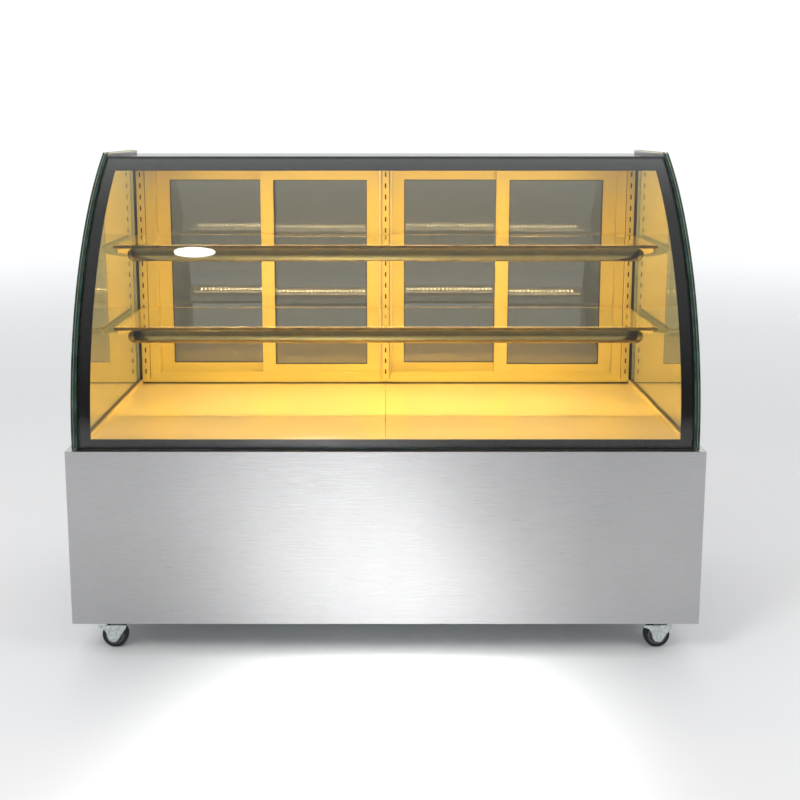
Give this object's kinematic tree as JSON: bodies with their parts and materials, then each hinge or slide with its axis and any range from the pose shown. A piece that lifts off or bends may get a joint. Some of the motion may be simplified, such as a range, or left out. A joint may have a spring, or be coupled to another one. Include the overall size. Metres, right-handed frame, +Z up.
{
  "type": "refrigerated glass display showcase",
  "caption": "Curved-front refrigerated glass display case on casters with lit glass shelves, sliding rear glass doors and a stainless base holding the cooling unit.",
  "frame": {"origin": "on the floor at the centre of the outline of the case", "axes": "+X along the width to the right of someone at the front, +Y from the front panel to the service side, +Z up"},
  "size_m": [1.5, 0.7, 1.2],
  "materials": {
    "brushed_stainless": "brushed",
    "satin_stainless": "satin",
    "polished_steel": "polished",
    "chassis_steel": "satin",
    "foam_tub": "matte",
    "fin_aluminium": "satin",
    "white_sheet": "satin",
    "black_plastic": "matte",
    "compressor_black": "gloss",
    "copper_pipe": "satin",
    "rocker_green": "gloss",
    "button_grey": "matte",
    "clear_glass": "polished",
    "tinted_glass": "polished",
    "door_glass": "polished",
    "spacer_dark": "matte",
    "lamp_lens": "frosted",
    "door_frame_metal": "satin",
    "galvanised": "galvanised",
    "caster_tyre": "matte"
  },
  "bodies": {
    "case": {"chassis_frame": "chassis_steel", "bottom_plate": "chassis_steel", "front_panel": "brushed_stainless", "side_panel_left": "brushed_stainless", "side_panel_right": "brushed_stainless", "rear_service_panel": "brushed_stainless", "base_rim": "brushed_stainless", "insulated_tub": "foam_tub", "deck_pans": "satin_stainless", "front_air_strip": "satin_stainless", "evaporator_coil": "fin_aluminium", "evaporator_fan_bulkhead": "white_sheet", "drip_tray": "fin_aluminium", "compressor": "compressor_black", "condenser_coil": "fin_aluminium", "condenser_fan_shroud": "black_plastic", "refrigerant_lines": "copper_pipe", "electrical_box": "chassis_steel", "control_panel": "black_plastic", "power_inlet": "black_plastic", "front_glass": "clear_glass", "side_glass_left": "clear_glass", "side_glass_right": "clear_glass", "side_glass_spacers": "spacer_dark", "top_glass": "tinted_glass", "glass_channels": "black_plastic", "rear_frame": "satin_stainless", "shelf_standards": "satin_stainless", "shelf_brackets": "satin_stainless", "shelf_upper": "clear_glass", "shelf_lower": "clear_glass", "shelf_rails": "polished_steel", "light_housings": "fin_aluminium", "light_lenses": "lamp_lens", "caster_plates": "galvanised", "case_screws": "galvanised"},
    "door_1": {"door_frame_1": "door_frame_metal", "door_glass_1": "door_glass"},
    "door_2": {"door_frame_2": "door_frame_metal", "door_glass_2": "door_glass"},
    "door_3": {"door_frame_3": "door_frame_metal", "door_glass_3": "door_glass"},
    "door_4": {"door_frame_4": "door_frame_metal", "door_glass_4": "door_glass"},
    "swivel_front_left": {"caster_fork_front_left": "galvanised"},
    "wheel_front_left": {"caster_wheel_front_left": "caster_tyre"},
    "swivel_front_right": {"caster_fork_front_right": "galvanised"},
    "wheel_front_right": {"caster_wheel_front_right": "caster_tyre"},
    "swivel_rear_left": {"caster_fork_rear_left": "galvanised"},
    "wheel_rear_left": {"caster_wheel_rear_left": "caster_tyre"},
    "swivel_rear_right": {"caster_fork_rear_right": "galvanised"},
    "wheel_rear_right": {"caster_wheel_rear_right": "caster_tyre"},
    "condenser_fan_body": {"condenser_fan": "black_plastic"},
    "evaporator_fan_left_body": {"evaporator_fan_left": "black_plastic"},
    "evaporator_fan_right_body": {"evaporator_fan_right": "black_plastic"},
    "light_rocker_body": {"light_rocker": "rocker_green"},
    "set_button_body": {"set_button": "button_grey"},
    "up_button_body": {"up_button": "button_grey"},
    "down_button_body": {"down_button": "button_grey"}
  },
  "joints": [
    {"name": "door_1_slide", "type": "slide", "parent": "case", "child": "door_1", "axis": [1, 0, 0], "range_m": [0, 0.303]},
    {"name": "door_2_slide", "type": "slide", "parent": "case", "child": "door_2", "axis": [1, 0, 0], "range_m": [-0.303, 0]},
    {"name": "door_3_slide", "type": "slide", "parent": "case", "child": "door_3", "axis": [1, 0, 0], "range_m": [0, 0.303]},
    {"name": "door_4_slide", "type": "slide", "parent": "case", "child": "door_4", "axis": [1, 0, 0], "range_m": [-0.303, 0]},
    {"name": "swivel_front_left", "type": "hinge", "parent": "case", "child": "swivel_front_left", "pos_m": [-0.654, -0.286, 0.075], "axis": [0, 0, 1], "continuous": true},
    {"name": "wheel_spin_front_left", "type": "hinge", "parent": "swivel_front_left", "child": "wheel_front_left", "pos_m": [-0.664, -0.286, 0.0315], "axis": [0, 1, 0], "continuous": true},
    {"name": "swivel_front_right", "type": "hinge", "parent": "case", "child": "swivel_front_right", "pos_m": [0.676, -0.286, 0.075], "axis": [0, 0, 1], "continuous": true},
    {"name": "wheel_spin_front_right", "type": "hinge", "parent": "swivel_front_right", "child": "wheel_front_right", "pos_m": [0.666, -0.286, 0.0315], "axis": [0, 1, 0], "continuous": true},
    {"name": "swivel_rear_left", "type": "hinge", "parent": "case", "child": "swivel_rear_left", "pos_m": [-0.654, 0.28, 0.075], "axis": [0, 0, 1], "continuous": true},
    {"name": "wheel_spin_rear_left", "type": "hinge", "parent": "swivel_rear_left", "child": "wheel_rear_left", "pos_m": [-0.664, 0.28, 0.0315], "axis": [0, 1, 0], "continuous": true},
    {"name": "swivel_rear_right", "type": "hinge", "parent": "case", "child": "swivel_rear_right", "pos_m": [0.676, 0.28, 0.075], "axis": [0, 0, 1], "continuous": true},
    {"name": "wheel_spin_rear_right", "type": "hinge", "parent": "swivel_rear_right", "child": "wheel_rear_right", "pos_m": [0.666, 0.28, 0.0315], "axis": [0, 1, 0], "continuous": true},
    {"name": "condenser_fan_spin", "type": "hinge", "parent": "case", "child": "condenser_fan_body", "pos_m": [0.19, 0.126, 0.1875], "axis": [0, 1, 0], "continuous": true},
    {"name": "evaporator_fan_left_spin", "type": "hinge", "parent": "case", "child": "evaporator_fan_left_body", "pos_m": [-0.33, 0.132, 0.425], "axis": [0, 1, 0], "continuous": true},
    {"name": "evaporator_fan_right_spin", "type": "hinge", "parent": "case", "child": "evaporator_fan_right_body", "pos_m": [0.33, 0.132, 0.425], "axis": [0, 1, 0], "continuous": true},
    {"name": "light_rocker_tilt", "type": "hinge", "parent": "case", "child": "light_rocker_body", "pos_m": [0.542, 0.3405, 0.453], "axis": [1, 0, 0], "range_deg": [-16, 0]},
    {"name": "set_button_press", "type": "slide", "parent": "case", "child": "set_button_body", "axis": [0, -1, 0], "range_m": [0, 0.001], "stiffness_N_per_m": 400},
    {"name": "up_button_press", "type": "slide", "parent": "case", "child": "up_button_body", "axis": [0, -1, 0], "range_m": [0, 0.001], "stiffness_N_per_m": 400},
    {"name": "down_button_press", "type": "slide", "parent": "case", "child": "down_button_body", "axis": [0, -1, 0], "range_m": [0, 0.001], "stiffness_N_per_m": 400}
  ]
}
